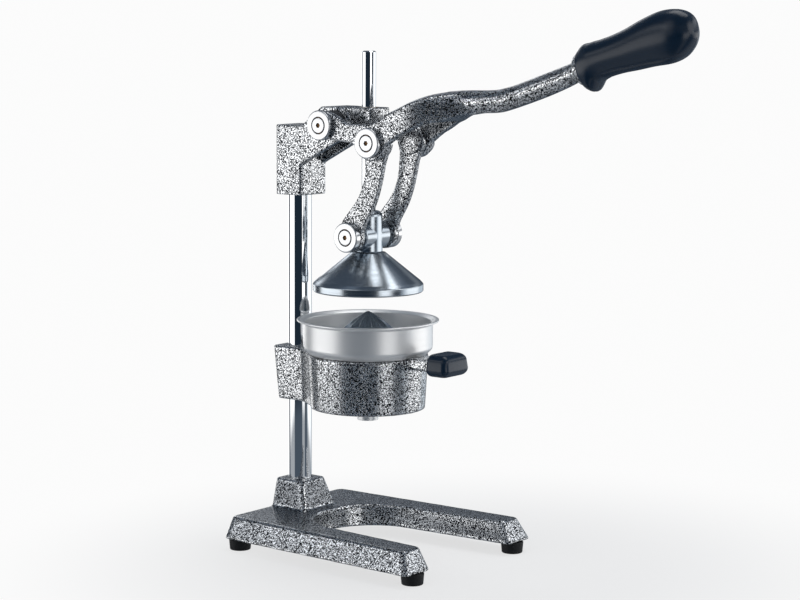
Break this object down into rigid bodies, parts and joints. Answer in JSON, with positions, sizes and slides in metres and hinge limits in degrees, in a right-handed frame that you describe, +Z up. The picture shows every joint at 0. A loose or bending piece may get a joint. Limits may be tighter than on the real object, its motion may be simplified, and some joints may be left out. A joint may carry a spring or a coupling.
{
  "type": "lever citrus juice press",
  "caption": "Tabletop lever press for halved citrus fruit: U-shaped cast base, chromed column, juice bowl with reamer, and a long lever that drives a pressing cone through curved links.",
  "frame": {"origin": "middle of the footprint, on the floor under the rubber feet", "axes": "+Z up, -Y towards the user (the lever's grip points that way), +X to the side"},
  "size_m": [0.1738, 0.4072, 0.4588],
  "materials": {
    "hammertone_paint": "silver and black hammertone enamel on castings, semi-gloss",
    "chrome_plate": "mirror bright",
    "bright_steel": "turned and polished",
    "stainless_steel": "spun stainless, fine circular brush lines",
    "cast_aluminium": "polished casting",
    "black_plastic": "satin black moulding",
    "black_nylon": "matt",
    "black_rubber": "matt moulded rubber",
    "bronze": "turned, dull"
  },
  "bodies": {
    "frame": {"base_casting": "hammertone_paint", "foot_front_left": "black_rubber", "foot_front_right": "black_rubber", "foot_rear_left": "black_rubber", "foot_rear_right": "black_rubber", "foot_screw_front_left": "bright_steel", "foot_screw_front_right": "bright_steel", "foot_screw_rear_left": "bright_steel", "foot_screw_rear_right": "bright_steel", "column": "chrome_plate", "column_bolt": "bright_steel", "column_washer": "bright_steel", "bowl_holder": "hammertone_paint", "holder_grub": "bright_steel", "side_grip": "black_plastic", "head_casting": "hammertone_paint", "head_grub": "bright_steel", "guide_bush": "bronze", "main_pin": "bright_steel", "main_left_cap": "bright_steel", "main_left_screw": "bright_steel", "main_right_cap": "bright_steel", "main_right_screw": "bright_steel", "main_spacer_left": "black_nylon", "main_spacer_right": "black_nylon"},
    "lever": {"lever_arm": "hammertone_paint", "lever_grip": "black_plastic", "upper_stud_left": "bright_steel", "upper_stud_right": "bright_steel", "upper_left_cap": "bright_steel", "upper_left_screw": "bright_steel", "upper_right_cap": "bright_steel", "upper_right_screw": "bright_steel"},
    "press_head": {"guide_rod": "chrome_plate", "crosshead": "cast_aluminium", "press_cone": "cast_aluminium", "cone_washer": "bright_steel", "cone_screw": "bright_steel", "lower_pin": "bright_steel", "lower_left_cap": "bright_steel", "lower_left_screw": "bright_steel", "lower_right_cap": "bright_steel", "lower_right_screw": "bright_steel"},
    "links": {"link_left": "hammertone_paint", "link_right": "hammertone_paint", "link_stud_left": "hammertone_paint", "link_stud_right": "hammertone_paint"},
    "bowl": {"bowl": "stainless_steel", "bowl_sump": "stainless_steel", "bowl_spout": "stainless_steel", "strainer": "stainless_steel", "reamer": "cast_aluminium"}
  },
  "joints": [
    {"name": "lever_hinge", "type": "hinge", "parent": "frame", "child": "lever", "pos_m": [0, 0.13211, 0.3617], "axis": [-1, 0, 0], "range_deg": [-40, 35]},
    {"name": "press_slide", "type": "slide", "parent": "frame", "child": "press_head", "axis": [0, 0, 1], "range_m": [-0.0352, 0.0308]},
    {"name": "link_swing", "type": "hinge", "parent": "press_head", "child": "links", "pos_m": [0, 0.10961, 0.2692], "axis": [-1, 0, 0], "range_deg": [-6.2, 7.1]},
    {"name": "bowl_turn", "type": "hinge", "parent": "frame", "child": "bowl", "pos_m": [0, 0.10961, 0.1693], "axis": [0, 0, 1], "range_deg": [-180, 180]}
  ],
  "couplings": [
    {"joint": "press_slide", "follows": "lever_hinge", "m_per_rad": 0.0498},
    {"joint": "link_swing", "follows": "lever_hinge", "ratio": -0.17}
  ]
}
